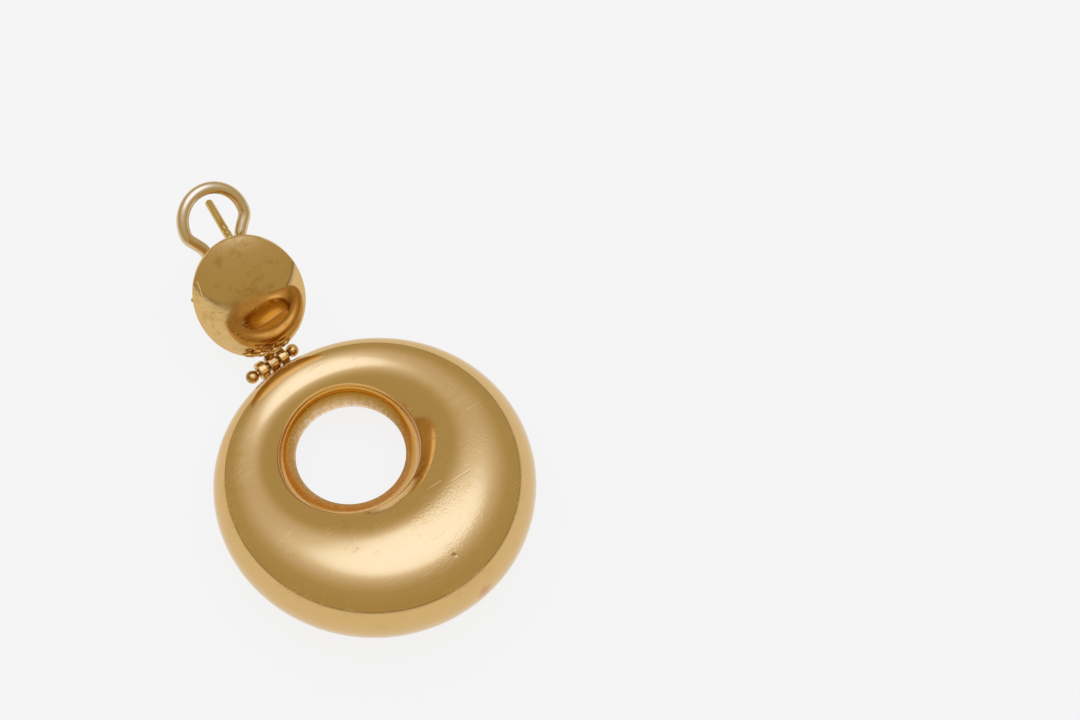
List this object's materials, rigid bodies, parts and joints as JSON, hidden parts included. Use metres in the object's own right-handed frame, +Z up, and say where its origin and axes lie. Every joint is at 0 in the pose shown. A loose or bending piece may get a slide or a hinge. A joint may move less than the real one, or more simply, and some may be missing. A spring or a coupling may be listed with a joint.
{
  "type": "drop earring",
  "caption": "Puffed hollow gold ring drop with an off-centre round hole, hinged to a domed top that carries an ear post and an omega clip.",
  "frame": {"origin": "centre of the bounding box, on the table the drop lies on", "axes": "+X along the hinge, +Y from the drop to the hinge and the top, +Z up from the table"},
  "size_m": [0.038, 0.059, 0.0182],
  "materials": {
    "polished_gold": "mirror-polished yellow gold with fine wear scratches",
    "fitting_gold": "polished yellow gold, darker in the joints",
    "pale_gold": "polished pale gold wire"
  },
  "bodies": {
    "drop": {"drop": "polished_gold", "hinge_pin": "fitting_gold"},
    "top": {"top_dome": "polished_gold", "omega_pin": "fitting_gold"},
    "clip": {"omega_clip": "pale_gold"}
  },
  "joints": [
    {"name": "top_hinge", "type": "hinge", "parent": "drop", "child": "top", "pos_m": [0, 0.0101, 0.00271], "axis": [1, 0, 0], "range_deg": [-158, 44]},
    {"name": "omega_lever", "type": "hinge", "parent": "top", "child": "clip", "pos_m": [0.00131, 0.01757, 0.00702], "axis": [-0.9879, 0.1084, 0.1114], "range_deg": [-15, 90]}
  ]
}
